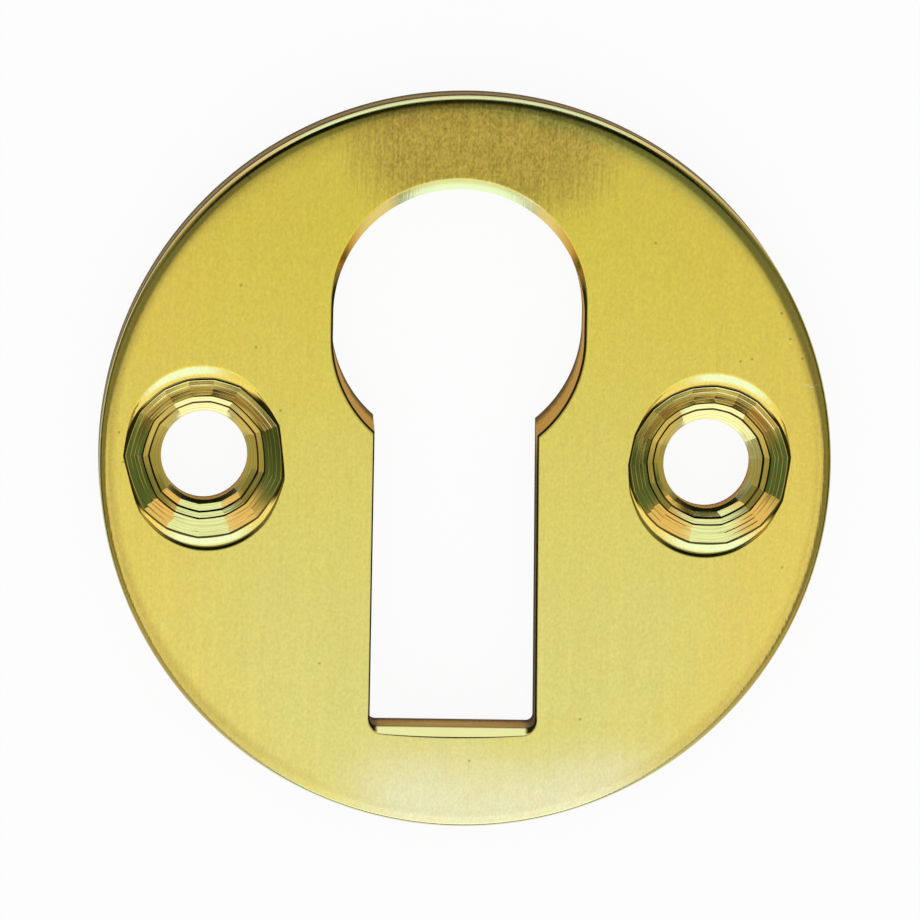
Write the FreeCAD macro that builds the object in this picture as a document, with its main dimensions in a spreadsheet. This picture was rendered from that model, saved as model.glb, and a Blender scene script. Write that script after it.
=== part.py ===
import FreeCAD, Part
import Sketcher
import math
import os

# Open keyhole escutcheon: one round brass plate with a keyhole and two
# countersunk screw holes. It lies on its back. The origin is the centre of the
# back face, +Z points out of the polished face and +Y towards the keyhole's
# round end. The plate was mopped along Y, so an edge that runs across the
# strokes is rounded further than one that runs along them.

NODE = "escutcheon_plate"
SHEET = "sizes"

# Driving sizes in millimetres, angles in degrees, and counts. The shoulder and throat
# shares are of a countersink's width outside its hole, the wave share is of the step
# between two chatter rings, and the level share is of the keyhole's bevel.
SIZES = {
    "plate_diameter": 32.0,
    "plate_thickness": 3.0,
    "piercing_shift": 0.36,
    "rim_round_depth": 0.22,
    "rim_round_run": 0.68,
    "rim_round_lean_right": 0.1,
    "rim_round_lean_up": 0.1,
    "rim_round_power": 3.0,
    "rim_round_bands": 5,
    "keyhole_diameter": 10.8,
    "keyhole_rise": 6.51,
    "keyhole_low_rise_back": 5.88,
    "keyhole_low_rise_front": 5.39,
    "slot_width": 7.15,
    "slot_neck_taper": 0.13,
    "slot_drop": 11.62,
    "slot_corner_radius": 0.3,
    "slot_front_corner_radius": 0.55,
    "bevel_depth": 0.25,
    "bevel_level_share": 0.14,
    "bevel_round_side": 0.2,
    "bevel_round_top": 0.42,
    "bevel_round_low": 0.1,
    "bevel_slot_side": 0.14,
    "bevel_slot_end": 0.4,
    "screw_edge_distance": 5.0,
    "screw_hole_diameter": 3.9,
    "countersink_diameter": 6.9,
    "countersink_angle": 100.0,
    "shoulder_share": 0.49,
    "shoulder_angle": 124.0,
    "throat_share": 0.31,
    "throat_angle": 140.0,
    "step_run": 0.03,
    "step_depth": 0.07,
    "chatter_rings": 3,
    "chatter_wave_share": 0.12,
    "chatter_twist": 0.6,
    "left_chatter_sides": 12,
    "left_chatter_turn": 25.0,
    "right_chatter_sides": 16,
    "right_chatter_turn": 8.0,
    "lip_end_reach": 0.58,
    "lip_side_reach": 0.07,
    "lip_end_slope": 0.18,
    "lip_side_slope": 0.03,
    "lip_depth": 0.05,
}

# Sketcher's names for the origin, the cross axis and the points of a curve
ORIGIN = (-1, 1)
CROSS_AXIS = -1
START, END, CENTRE = range(1, 4)
UP = FreeCAD.Vector(0, 0, 1)

# The two screw holes, and the direction in which each lies along X
SIDES = {"left": -1, "right": 1}

doc = FreeCAD.newDocument("keyhole_escutcheon")


def make_sheet():
    """Write the driving sizes into the spreadsheet, one alias to a row."""
    result = doc.addObject("Spreadsheet::Sheet", SHEET)
    for row, (name, value) in enumerate(SIZES.items(), start=1):
        result.set(f"A{row}", name)
        result.set(f"B{row}", str(value))
        result.setAlias(f"B{row}", name)
    doc.recompute()
    return result


def size(name):
    """The present value of one driving size."""
    return float(getattr(sheet, name))


def cell(name):
    """How an expression names one driving size."""
    return f"{SHEET}.{name}"


def rounding_shares():
    """A superellipse in flat bands: how far in and how deep each ring lies."""
    bands = int(size("rim_round_bands"))
    for band in range(bands + 1):
        turn = math.pi / 2 * band / bands
        yield band, 1 - abs(math.cos(turn)) ** (2 / size("rim_round_power")), 1 - math.sin(turn)


def bevel_shares():
    """A straight slope that eases at its top: how far out and how deep each ring lies."""
    level = size("bevel_level_share")
    return [(0, 1), (1 - level, level / 2), (1, 0)]


def new_sketch(body, name, depth=None):
    """An empty sketch on the back face's plane, or at a depth below the front face."""
    sketch = body.newObject("Sketcher::SketchObject", name)
    plane = next(item for item in body.Origin.OriginFeatures if item.Role == "XY_Plane")
    sketch.AttachmentSupport = [(plane, "")]
    sketch.MapMode = "FlatFace"
    if depth is not None:
        sketch.setExpression("AttachmentOffset.Base.z", f"{cell('plate_thickness')} - {depth}")
    return sketch


def bind(sketch, name, expression, *constraint):
    """Add a named dimension to the sketch and tie it to the sheet."""
    index = sketch.addConstraint(Sketcher.Constraint(*constraint))
    sketch.renameConstraint(index, name)
    sketch.setExpression(f"Constraints.{name}", expression)


def ring_sketch(body, name, radius, centre_x, centre_y, depth=None):
    """A circle in four quarter arcs, whose radius and centre are expressions."""
    sketch = new_sketch(body, name, depth)
    first_radius = size("plate_diameter") / 4
    first_x = first_y = first_radius / 4
    circle = Part.Circle(FreeCAD.Vector(first_x, first_y), UP, first_radius)
    turns = [math.pi / 2 * quarter for quarter in range(5)]
    arcs = [Part.ArcOfCircle(circle, *ends) for ends in zip(turns, turns[1:])]
    arcs = [sketch.addGeometry(arc, False) for arc in arcs]
    for quarter, arc in enumerate(arcs):
        level = "Vertical" if quarter % 2 else "Horizontal"
        sketch.addConstraint(Sketcher.Constraint(level, arc, START, arc, CENTRE))
    for arc, following in zip(arcs, arcs[1:]):
        sketch.addConstraint(Sketcher.Constraint("Coincident", arc, END, following, START))
        sketch.addConstraint(Sketcher.Constraint("Coincident", arc, CENTRE, following, CENTRE))
    sketch.addConstraint(Sketcher.Constraint("Horizontal", arcs[3], END, arcs[3], CENTRE))
    bind(sketch, "radius", radius, "Radius", arcs[0], first_radius)
    bind(sketch, "centre_x", centre_x, "DistanceX", *ORIGIN, arcs[0], CENTRE, first_x)
    bind(sketch, "centre_y", centre_y, "DistanceY", *ORIGIN, arcs[0], CENTRE, first_y)
    return sketch


def keyhole_sketch(body, name, rise_share=0, share=0, depth=None):
    """The keyhole's outline at a share of the wall's rise, opened by a share of its bevel."""
    sketch = new_sketch(body, name, depth)
    back, front = size("keyhole_low_rise_back"), size("keyhole_low_rise_front")
    side_run, top_run, low_run = (
        share * size(f"bevel_round_{part}") for part in ("side", "top", "low"))
    radius = size("keyhole_diameter") / 2 + side_run
    round_y = size("keyhole_rise") + top_run - side_run
    low_y = back + (front - back) * rise_share + side_run - low_run
    half = size("slot_width") / 2 + share * size("bevel_slot_side")
    corner_growth = size("slot_front_corner_radius") - size("slot_corner_radius")
    corner = size("slot_corner_radius") + share * corner_growth
    bottom = -size("slot_drop") - share * size("bevel_slot_end")
    middle = -size("piercing_shift")
    left, right = middle - half, middle + half
    right_neck = right - size("slot_neck_taper")
    left_turn, right_turn = (math.acos(abs(x - middle) / radius) for x in (left, right_neck))
    left_neck_y, right_neck_y = (
        low_y - radius * math.sin(turn) for turn in (left_turn, right_turn))

    def arc(middle_x, middle_y, arc_radius, first_turn, last_turn):
        circle = Part.Circle(FreeCAD.Vector(middle_x, middle_y), UP, arc_radius)
        return sketch.addGeometry(Part.ArcOfCircle(circle, first_turn, last_turn), False)

    def line(x_from, y_from, x_to, y_to):
        ends = FreeCAD.Vector(x_from, y_from), FreeCAD.Vector(x_to, y_to)
        return sketch.addGeometry(Part.LineSegment(*ends), False)

    half_turn = math.pi
    round_end = arc(middle, round_y, radius, 0, half_turn)
    left_cheek = line(middle - radius, round_y, middle - radius, low_y)
    left_low = arc(middle, low_y, radius, half_turn, half_turn + left_turn)
    left_side = line(left, left_neck_y, left, bottom + corner)
    left_corner = arc(left + corner, bottom + corner, corner, half_turn, 1.5 * half_turn)
    slot_end = line(left + corner, bottom, right - corner, bottom)
    right_corner = arc(right - corner, bottom + corner, corner, 1.5 * half_turn, 2 * half_turn)
    right_side = line(right, bottom + corner, right_neck, right_neck_y)
    right_low = arc(middle, low_y, radius, -right_turn, 0)
    right_cheek = line(middle + radius, low_y, middle + radius, round_y)

    def join(kind, chain):
        for first, second in zip(chain, chain[1:]):
            sketch.addConstraint(Sketcher.Constraint(kind, first, END, second, START))

    join("Tangent", [right_low, right_cheek, round_end, left_cheek, left_low])
    join("Tangent", [left_side, left_corner, slot_end, right_corner, right_side])
    join("Coincident", [left_low, left_side])
    join("Coincident", [right_side, right_low])
    for upright in (left_cheek, right_cheek, left_side):
        sketch.addConstraint(Sketcher.Constraint("Vertical", upright))
    sketch.addConstraint(Sketcher.Constraint("Horizontal", slot_end))
    sketch.addConstraint(Sketcher.Constraint("Equal", left_corner, right_corner))
    sketch.addConstraint(Sketcher.Constraint("Vertical", round_end, CENTRE, left_low, CENTRE))
    sketch.addConstraint(Sketcher.Constraint("Coincident", left_low, CENTRE, right_low, CENTRE))

    shift = cell("piercing_shift")
    side, top, low = (f"{cell(f'bevel_round_{part}')} * {share}" for part in ("side", "top", "low"))
    back, front = cell("keyhole_low_rise_back"), cell("keyhole_low_rise_front")
    half_width = f"({cell('slot_width')} / 2 + {cell('bevel_slot_side')} * {share})"
    first_corner, front_corner = cell("slot_corner_radius"), cell("slot_front_corner_radius")
    bind(sketch, "round_radius", f"{cell('keyhole_diameter')} / 2 + {side}",
         "Radius", round_end, radius)
    bind(sketch, "round_x", f"-{shift}", "DistanceX", *ORIGIN, round_end, CENTRE, middle)
    bind(sketch, "round_y", f"{cell('keyhole_rise')} + {top} - {side}",
         "DistanceY", *ORIGIN, round_end, CENTRE, round_y)
    bind(sketch, "low_y", f"{back} + ({front} - {back}) * {rise_share} + {side} - {low}",
         "DistanceY", *ORIGIN, left_low, CENTRE, low_y)
    bind(sketch, "left_x", f"-{shift} - {half_width}", "DistanceX", *ORIGIN, left_side, END, left)
    bind(sketch, "right_x", f"{half_width} - {shift}",
         "DistanceX", *ORIGIN, right_side, START, right)
    bind(sketch, "right_neck_x", f"{half_width} - {shift} - {cell('slot_neck_taper')}",
         "DistanceX", *ORIGIN, right_side, END, right_neck)
    bind(sketch, "end_y", f"-{cell('slot_drop')} - {cell('bevel_slot_end')} * {share}",
         "DistanceY", *ORIGIN, slot_end, START, bottom)
    bind(sketch, "corner_radius", f"{first_corner} + ({front_corner} - {first_corner}) * {share}",
         "Radius", left_corner, corner)
    return sketch


def screw_hole_sketch(body, name):
    """Two plain holes on the plate's cross line, either side of the keyhole."""
    sketch = new_sketch(body, name)
    radius = size("screw_hole_diameter") / 2
    for side, sign in SIDES.items():
        reach = size("plate_diameter") / 2 - size("screw_edge_distance")
        centre_x = sign * reach - size("piercing_shift")
        hole = sketch.addGeometry(Part.Circle(FreeCAD.Vector(centre_x, 0), UP, radius), False)
        sketch.addConstraint(Sketcher.Constraint("PointOnObject", hole, CENTRE, CROSS_AXIS))
        bind(sketch, f"{side}_radius", f"{cell('screw_hole_diameter')} / 2", "Radius", hole, radius)
        bind(sketch, f"{side}_x", hole_x(sign), "DistanceX", *ORIGIN, hole, CENTRE, centre_x)
    return sketch


def hole_x(sign):
    """The expression for a screw hole's place across the plate."""
    reach = f"({cell('plate_diameter')} / 2 - {cell('screw_edge_distance')})"
    return f"{sign} * {reach} - {cell('piercing_shift')}"


def pad_blank(body):
    """The disc up to where its rim starts to round."""
    pad = body.newObject("PartDesign::Pad", "blank")
    pad.Profile = ring_sketch(body, "blank_outline", f"{cell('plate_diameter')} / 2", "0", "0")
    pad.setExpression("Length", f"{cell('plate_thickness')} - {cell('rim_round_depth')}")


def round_rim(body):
    """Crown the disc with rings that shrink and move off centre as they rise."""
    rings = []
    for band, inset, drop in rounding_shares():
        radius = f"{cell('plate_diameter')} / 2 - {cell('rim_round_run')} * {inset}"
        centre_x = f"-{cell('rim_round_lean_right')} * {inset}"
        centre_y = f"-{cell('rim_round_lean_up')} * {inset}"
        depth = f"{cell('rim_round_depth')} * {drop}"
        rings.append(ring_sketch(body, f"rim_ring_{band}", radius, centre_x, centre_y, depth))
    make_loft(body, "PartDesign::AdditiveLoft", "rounded_rim", rings)


def cut_keyhole(body):
    """Cut the keyhole from the back up to its bevel, its lower round leaning outwards."""
    rings = [keyhole_sketch(body, "keyhole_back"),
             keyhole_sketch(body, "keyhole_front", 1, 0, cell("bevel_depth"))]
    make_loft(body, "PartDesign::SubtractiveLoft", "keyhole", rings)


def bevel_keyhole(body):
    """Bevel the keyhole's front edge, furthest where the mop crossed it."""
    rings = []
    for band, (share, drop) in enumerate(bevel_shares()):
        depth = f"{cell('bevel_depth')} * {drop}"
        rings.append(keyhole_sketch(body, f"keyhole_ring_{band}", 1, share, depth))
    make_loft(body, "PartDesign::SubtractiveLoft", "beveled_keyhole", rings)


def make_loft(body, kind, name, rings):
    """A feature through its rings, straight from each one to the next."""
    loft = body.newObject(kind, name)
    loft.Profile = rings[0]
    loft.Sections = rings[1:]
    loft.Ruled = True


def make_pocket(body, name, profile):
    """Cut a profile through the whole plate."""
    pocket = body.newObject("PartDesign::Pocket", name)
    pocket.Profile = profile
    pocket.Type = "ThroughAll"
    pocket.Reversed = True


def make_body():
    """The disc with its rounded rim, its keyhole and its two plain screw holes."""
    body = doc.addObject("PartDesign::Body", "pierced_blank")
    pad_blank(body)
    round_rim(body)
    doc.recompute()
    volume = body.Shape.Volume
    cut_keyhole(body)
    volume = cut_volume(body, "keyhole", volume)
    bevel_keyhole(body)
    volume = cut_volume(body, "beveled_keyhole", volume)
    make_pocket(body, "screw_holes", screw_hole_sketch(body, "screw_hole_outline"))
    cut_volume(body, "screw_holes", volume)
    return body


def cut_volume(item, name, volume_before):
    """Rebuild, and stop if the named cut took no metal away."""
    doc.recompute()
    if item.Shape.Volume >= volume_before:
        raise RuntimeError(f"{name} cuts nothing")
    return item.Shape.Volume


def place_ring(ring, sign, depth, turn="0"):
    """Centre a cutter's ring on its screw hole, at a depth below the face."""
    ring.Placement.Rotation = FreeCAD.Rotation(UP, 1)
    ring.setExpression("Placement.Base.x", hole_x(sign))
    ring.setExpression("Placement.Base.z", f"{cell('plate_thickness')} - ({depth})")
    ring.setExpression("Placement.Rotation.Angle", turn)


def make_cutter(name, rings):
    """A closed cutting tool, straight from each ring to the next."""
    cutter = doc.addObject("Part::Loft", name)
    cutter.Sections = rings
    cutter.Solid = True
    cutter.Ruled = True
    return cutter


def make_lip_cutter(side, sign):
    """The shallow dish round a screw hole, longer along the strokes than across."""
    corner_radius = f"{cell('countersink_diameter')} / 2"
    end_radius = f"{corner_radius} + {cell('lip_end_reach')}"
    side_radius = f"{corner_radius} + {cell('lip_side_reach')}"
    rim = doc.addObject("Part::Ellipse", f"{side}_lip_rim")
    rim.setExpression("MajorRadius", end_radius)
    rim.setExpression("MinorRadius", side_radius)
    floor = doc.addObject("Part::Ellipse", f"{side}_lip_floor")
    floor.setExpression("MajorRadius", f"{end_radius} - {cell('lip_end_slope')}")
    floor.setExpression("MinorRadius", f"{side_radius} - {cell('lip_side_slope')}")
    along_strokes = "90"
    place_ring(rim, sign, "0", along_strokes)
    place_ring(floor, sign, cell("lip_depth"), along_strokes)
    return make_cutter(f"{side}_lip_cutter", [rim, floor])


def countersink_rows():
    """Radius and depth of each ring that the chattering countersink left."""
    face, hole = cell("countersink_diameter"), cell("screw_hole_diameter")
    shoulder, throat = (f"({hole} + ({face} - {hole}) * {cell(share)}) / 2"
                        for share in ("shoulder_share", "throat_share"))

    def fall(outer, inner, angle):
        return f"({outer} - {inner}) / tan({cell(angle)} / 2)"

    flank_depth = fall(f"{face} / 2", shoulder, "countersink_angle")
    lip_depth = cell("lip_depth")
    lip_radius = f"{face} / 2 - {lip_depth} * tan({cell('countersink_angle')} / 2)"
    rows = [(f"{face} / 2", "0"), (lip_radius, lip_depth)]
    flank_width = f"({lip_radius} - {shoulder})"
    steps = 2 * int(size("chatter_rings"))
    for step in range(1, steps):
        sign = 1 if step % 2 else -1
        wave = f"{sign} * {cell('chatter_wave_share')}"
        radius = f"{lip_radius} - {flank_width} * ({step} - {wave}) / {steps}"
        depth = f"{lip_depth} + ({flank_depth} - {lip_depth}) * {step} / {steps}"
        rows.append((radius, depth))
    rows.append((shoulder, flank_depth))

    ledges = [(shoulder, throat, "shoulder_angle"), (throat, f"{hole} / 2", "throat_angle")]
    depth = flank_depth
    for outer, inner, angle in ledges:
        ledge_start = f"{outer} - {cell('step_run')}"
        depth = f"{depth} + {cell('step_depth')}"
        rows.append((ledge_start, depth))
        depth = f"{depth} + {fall(f'({ledge_start})', inner, angle)}"
        rows.append((inner, depth))
    return rows


def make_countersink_cutter(side, sign):
    """The many-sided cone, stepped in rings, that tool chatter cut round one hole."""
    rings = []
    for index, (radius, depth) in enumerate(countersink_rows()):
        ring = doc.addObject("Part::RegularPolygon", f"{side}_chatter_ring_{index}")
        ring.setExpression("Polygon", cell(f"{side}_chatter_sides"))
        ring.setExpression("Circumradius", radius)
        turn = f"{cell(f'{side}_chatter_turn')} + {index} * {cell('chatter_twist')}"
        place_ring(ring, sign, depth, turn)
        rings.append(ring)
    return make_cutter(f"{side}_countersink_cutter", rings)


def cut(name, base, tool):
    """Cut one tool out of the plate."""
    result = doc.addObject("Part::Cut", name)
    result.Base = base
    result.Tool = tool
    cut_volume(result, name, base.Shape.Volume)
    return result


def check(document):
    """Stop if any object failed to rebuild."""
    for item in document.Objects:
        if "Invalid" in item.State or "Error" in item.State:
            raise RuntimeError(f"{item.Label} failed: {item.State}")


def export(item):
    """Write one finished sub-part to its own file."""
    shape = item.Shape
    if shape.isNull() or not shape.isValid() or len(shape.Solids) != 1:
        raise RuntimeError(f"{item.Label} isn't one valid solid")
    os.makedirs("parts", exist_ok=True)
    shape.exportStep(os.path.join("parts", f"{item.Label}.step"))
    print(item.Label, "volume", round(shape.Volume, 1), "faces", len(shape.Faces))


sheet = make_sheet()
plate = make_body()
for side, sign in SIDES.items():
    plate = cut(f"{side}_lip", plate, make_lip_cutter(side, sign))
    plate = cut(f"{side}_countersink", plate, make_countersink_cutter(side, sign))
plate.Label = NODE
check(doc)
export(plate)
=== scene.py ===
# %% [markdown]
# # A keyhole escutcheon
#
# The object is one round plate of yellow brass, 32 mm across and 3 mm thick. It is
# screwed over the keyhole of a lock, so it has a keyhole and two countersunk screw
# holes cut through it. The CAD model fixes its size and place. This lesson makes
# the plate that is seen: its mopped edges, its chattered countersinks and its satin
# finish, and then the light of a small studio for metal. Sizes are in millimetres,
# as in the CAD model, and become metres where a mesh is made.

# %% Load the frame
import math
import random

import bmesh
import bpy
from mathutils import Matrix, Vector


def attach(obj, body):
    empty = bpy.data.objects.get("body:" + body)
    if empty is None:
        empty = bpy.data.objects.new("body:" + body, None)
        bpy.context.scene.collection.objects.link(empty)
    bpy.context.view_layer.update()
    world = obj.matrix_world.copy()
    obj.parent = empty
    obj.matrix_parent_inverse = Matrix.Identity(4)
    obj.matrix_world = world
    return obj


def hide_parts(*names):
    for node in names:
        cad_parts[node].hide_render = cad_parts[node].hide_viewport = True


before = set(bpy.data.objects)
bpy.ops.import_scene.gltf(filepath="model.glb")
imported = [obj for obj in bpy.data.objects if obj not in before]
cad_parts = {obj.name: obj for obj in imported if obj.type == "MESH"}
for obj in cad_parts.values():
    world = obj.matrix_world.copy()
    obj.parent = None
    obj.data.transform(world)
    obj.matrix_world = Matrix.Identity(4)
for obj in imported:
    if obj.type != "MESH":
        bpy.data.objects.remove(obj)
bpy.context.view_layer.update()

MM = 0.001
PLATE_NODE = "escutcheon_plate"
THICKNESS = 3.0
PIERCING_X = -0.36
SCREW_REACH = 11
SCREW_PLACES = ((PIERCING_X - SCREW_REACH, 0.0, 0.0), (PIERCING_X + SCREW_REACH, 0.0, 0.0))

# %% [markdown]
# ## The camera
#
# The photograph looks almost straight down on the face, from a little above and to
# the left of it, so the plate's wall shows as a thin strip along the top. A long
# lens from two thirds of a metre keeps the circle round. The plate lies turned by
# about a degree, which the camera's roll gives.

# %% Place the camera
IMAGE_SIDE = 920
SENSOR_WIDTH = 36.0
CLIP_END = 10
VIEW_DISTANCE = 644 * MM
VIEW_RISE = math.radians(6.1)
VIEW_LEFT = math.radians(2.2)
VIEW_ROLL = math.radians(1.05)
PIXELS_PER_MM = 22.97
AIM = Vector((-0.24, 0.10, THICKNESS)) * MM


def make_camera():
    """A long lens, aimed at the middle of the photograph's frame."""
    data = bpy.data.cameras.new("camera")
    data.sensor_width = SENSOR_WIDTH
    data.lens = PIXELS_PER_MM / MM * VIEW_DISTANCE * SENSOR_WIDTH / IMAGE_SIDE
    data.clip_end = CLIP_END
    camera = bpy.data.objects.new("camera", data)
    bpy.context.scene.collection.objects.link(camera)
    towards = Vector((-math.tan(VIEW_LEFT), math.tan(VIEW_RISE), 1)).normalized()
    up = Vector((-math.sin(VIEW_ROLL), math.cos(VIEW_ROLL), 0))
    right = up.cross(towards).normalized()
    up = towards.cross(right)
    turn = Matrix((right, up, towards)).transposed()
    camera.matrix_world = Matrix.Translation(AIM + towards * VIEW_DISTANCE) @ turn.to_4x4()
    bpy.context.scene.camera = camera
    return camera


camera = make_camera()
print("Lens:", round(camera.data.lens), "mm")

# %% [markdown]
# ## Shader expressions
#
# A finish is easier to read as a formula than as a web of nodes. A small class wraps
# an output socket, so that adding or multiplying two of them adds the Math node. Any
# other node comes from one method: its type, then its settings, then what goes in.


# %% Write node maths as expressions
class Wire:
    """An output socket that adds and multiplies like a number."""

    def __init__(self, finish, socket):
        self.finish = finish
        self.socket = socket

    def maths(self, operation, first, second):
        return self.finish.node("Math", {"operation": operation}, {0: first, 1: second})

    def __add__(self, other):
        return self.maths("ADD", self, other)

    def __sub__(self, other):
        return self.maths("SUBTRACT", self, other)

    def __rsub__(self, other):
        return self.maths("SUBTRACT", other, self)

    def __mul__(self, other):
        return self.maths("MULTIPLY", self, other)

    def __truediv__(self, other):
        return self.maths("DIVIDE", self, other)

    __radd__ = __add__
    __rmul__ = __mul__


print("Operators ready:", [name for name in vars(Wire) if name.startswith("__")])

# %% [markdown]
# The second class builds a finish. Its methods are the few tools that every brass
# here needs: blend two colours, fade a mark in between two distances, measure how
# far a point is from a place, and lay noise that can be drawn out into strokes.

# %% Build a finish node by node
PATTERN_AXES = (1, 1, 0)
COLOUR_MIX = {"factor": 0, "first": 6, "second": 7, "result": 2}


class Finish:
    """A material, or the world, that is built node by node."""

    def __init__(self, owner):
        self.owner = owner
        owner.use_nodes = True
        self.tree = owner.node_tree
        self.tree.nodes.clear()

    def node(self, kind, settings=None, inputs=None, output=0):
        """Add a shader node and return one of its outputs."""
        made = self.tree.nodes.new("ShaderNode" + kind)
        for name, value in (settings or {}).items():
            if name == "stops":
                fill_ramp(made.color_ramp, value)
            else:
                setattr(made, name, value)
        for name, value in (inputs or {}).items():
            if isinstance(value, Wire):
                self.tree.links.new(value.socket, made.inputs[name])
            else:
                made.inputs[name].default_value = value
        return Wire(self, made.outputs[output]) if made.outputs else None

    def size_of(self, value):
        """The value without its sign."""
        return self.node("Math", {"operation": "ABSOLUTE"}, {0: value})

    def smaller(self, first, second):
        """The smaller of two values."""
        return self.node("Math", {"operation": "MINIMUM"}, {0: first, 1: second})

    def mix(self, share, first, second):
        """Blend two colours."""
        settings = {"data_type": "RGBA", "clamp_factor": True}
        inputs = {COLOUR_MIX["factor"]: share, COLOUR_MIX["first"]: first,
                  COLOUR_MIX["second"]: second}
        return self.node("Mix", settings, inputs, output=COLOUR_MIX["result"])

    def tint(self, colour, amount):
        """Lighten or darken a colour by a factor."""
        return self.node("VectorMath", {"operation": "SCALE"}, {0: colour, "Scale": amount})

    def fade(self, value, low_and_high):
        """Rise smoothly from 0 to 1 between two values, or fall where the second is smaller."""
        low, high = low_and_high
        settings = {"interpolation_type": "SMOOTHSTEP"}
        if low < high:
            return self.node("MapRange", settings, {0: value, 1: low, 2: high})
        return 1 - self.node("MapRange", settings, {0: value, 1: high, 2: low})

    def place(self):
        """The point on the piece in millimetres, whole and as X, Y and Z."""
        point = self.node("TexCoord", output="Object")
        point = self.node("VectorMath", {"operation": "SCALE"}, {0: point, "Scale": 1 / MM})
        parts = self.node("SeparateXYZ", inputs={0: point}).socket.node
        return point, *(Wire(self, output) for output in parts.outputs)

    def noise(self, point, stretch, scale, detail=2.0, roughness=0.5):
        """Noise around 0.5, drawn out along an axis where the stretch is small."""
        point = self.node("VectorMath", {"operation": "MULTIPLY"}, {0: point, 1: stretch})
        settings = {"noise_dimensions": "3D"}
        inputs = {"Vector": point, "Scale": scale, "Detail": detail, "Roughness": roughness}
        return self.node("TexNoise", settings, inputs)

    def away(self, point, middle, stretch=PATTERN_AXES):
        """Distance from a place on the piece, in millimetres."""
        point = self.node("VectorMath", {"operation": "SUBTRACT"}, {0: point, 1: middle})
        point = self.node("VectorMath", {"operation": "MULTIPLY"}, {0: point, 1: stretch})
        return self.node("VectorMath", {"operation": "LENGTH"}, {0: point}, output="Value")

    def brass(self, colour, metallic, roughness, mirror, height, rise):
        """Join the colour, the shine and a relief that rises in millimetres to the output."""
        relief = {"Strength": 1.0, "Distance": rise * MM, "Height": height}
        normal = self.node("Bump", inputs=relief)
        shader = self.node("BsdfPrincipled", inputs={
            "Base Color": colour,
            "Metallic": metallic,
            "Roughness": roughness,
            "Specular IOR Level": mirror,
            "Normal": normal,
        })
        return self.close(shader)

    def close(self, shader):
        """Join the finished shader to the material's output."""
        self.node("OutputMaterial", inputs={"Surface": shader})
        return self.owner


def fill_ramp(ramp, stops):
    """Set a colour ramp's stops, each a place and a colour."""
    for stop, (position, colour) in zip(ramp.elements, stops):
        stop.position = position
        stop.color = colour
    for position, colour in stops[len(ramp.elements):]:
        ramp.elements.new(position).color = colour


def new_finish(name):
    """Start a material with no nodes in it."""
    return Finish(bpy.data.materials.new(name))


print("Finish tools:", [name for name in vars(Finish) if not name.startswith("__")])

# %% [markdown]
# ## The satin face
#
# The face is yellow brass that a mop has brushed along Y. It is painted paler from gold
# at the round end to straw, and to ivory beyond the slot's end, a painted reflection of
# the front window, and its hue drifts between lemon and amber. Every mark on it is
# placed by a distance: from the plate's middle, from the nearer screw hole, along Y, or
# down from the face. So those distances are worked out once. Each pair of numbers says
# where a mark starts and where it is full.

# %% Choose the face's colours and measure the plate
GOLD = (0.70, 0.535, 0.077, 1)
STRAW = (0.64, 0.55, 0.182, 1)
IVORY = (0.71, 0.65, 0.42, 1)
AMBER = (0.74, 0.49, 0.11, 1)

STRAW_ALONG = (12, -12)
STRAW_DRIFT = 5
IVORY_ALONG = (-11.2, -15)
IVORY_DRIFT = 2
IVORY_MIDDLE = 2.2
IVORY_ACROSS = (9, 4)
SIDE_MIDDLE = (0, -2, 0)
SIDE_STRETCH = (1, 0.6, 0)
SIDE_DISTANCE = (8, 15)
STRAW_LOST_AT_SIDES = 0.45
IVORY_LOST_AT_SIDES = 0.4


def nearest_hole(finish, point):
    """Distance from the nearer screw hole's axis, in millimetres."""
    left, right = (finish.away(point, place) for place in SCREW_PLACES)
    return finish.smaller(left, right)


class Spot:
    """The point that is shaded, its distances in millimetres and the noise there."""

    def __init__(self, finish):
        self.point, self.x, self.y, self.z = finish.place()
        self.across = finish.size_of(self.x)
        self.depth = THICKNESS - self.z
        self.hole = nearest_hole(finish, self.point)
        self.middle = finish.away(self.point, (0, 0, 0))
        self.side = finish.fade(finish.away(self.point, SIDE_MIDDLE, SIDE_STRETCH), SIDE_DISTANCE)
        self.cloud = finish.noise(self.point, (1, 1, 1), 0.22)
        self.stroke = finish.noise(self.point, (9, 0.3, 1), 1.0, detail=3.0, roughness=0.7)
        self.coarse = finish.noise(self.point, (2.2, 0.05, 1), 1.0)


def pale_downwards(finish, spot):
    """A painted reflection: gold at the round end, then straw, then ivory, less so at the sides.
    """
    # The paling along Y is a painted reflection of the front window.
    straw = finish.fade(spot.y + spot.cloud * STRAW_DRIFT - STRAW_DRIFT / 2, STRAW_ALONG)
    ivory = finish.fade(spot.y + spot.cloud * IVORY_DRIFT - IVORY_DRIFT / 2, IVORY_ALONG)
    ivory = ivory * finish.fade(finish.size_of(spot.x - IVORY_MIDDLE), IVORY_ACROSS)
    colour = finish.mix(straw * (1 - spot.side * STRAW_LOST_AT_SIDES), GOLD, STRAW)
    return finish.mix(ivory * (1 - spot.side * IVORY_LOST_AT_SIDES), colour, IVORY)


print("The face pales along Y between", STRAW_ALONG, "and again between", IVORY_ALONG)
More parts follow.
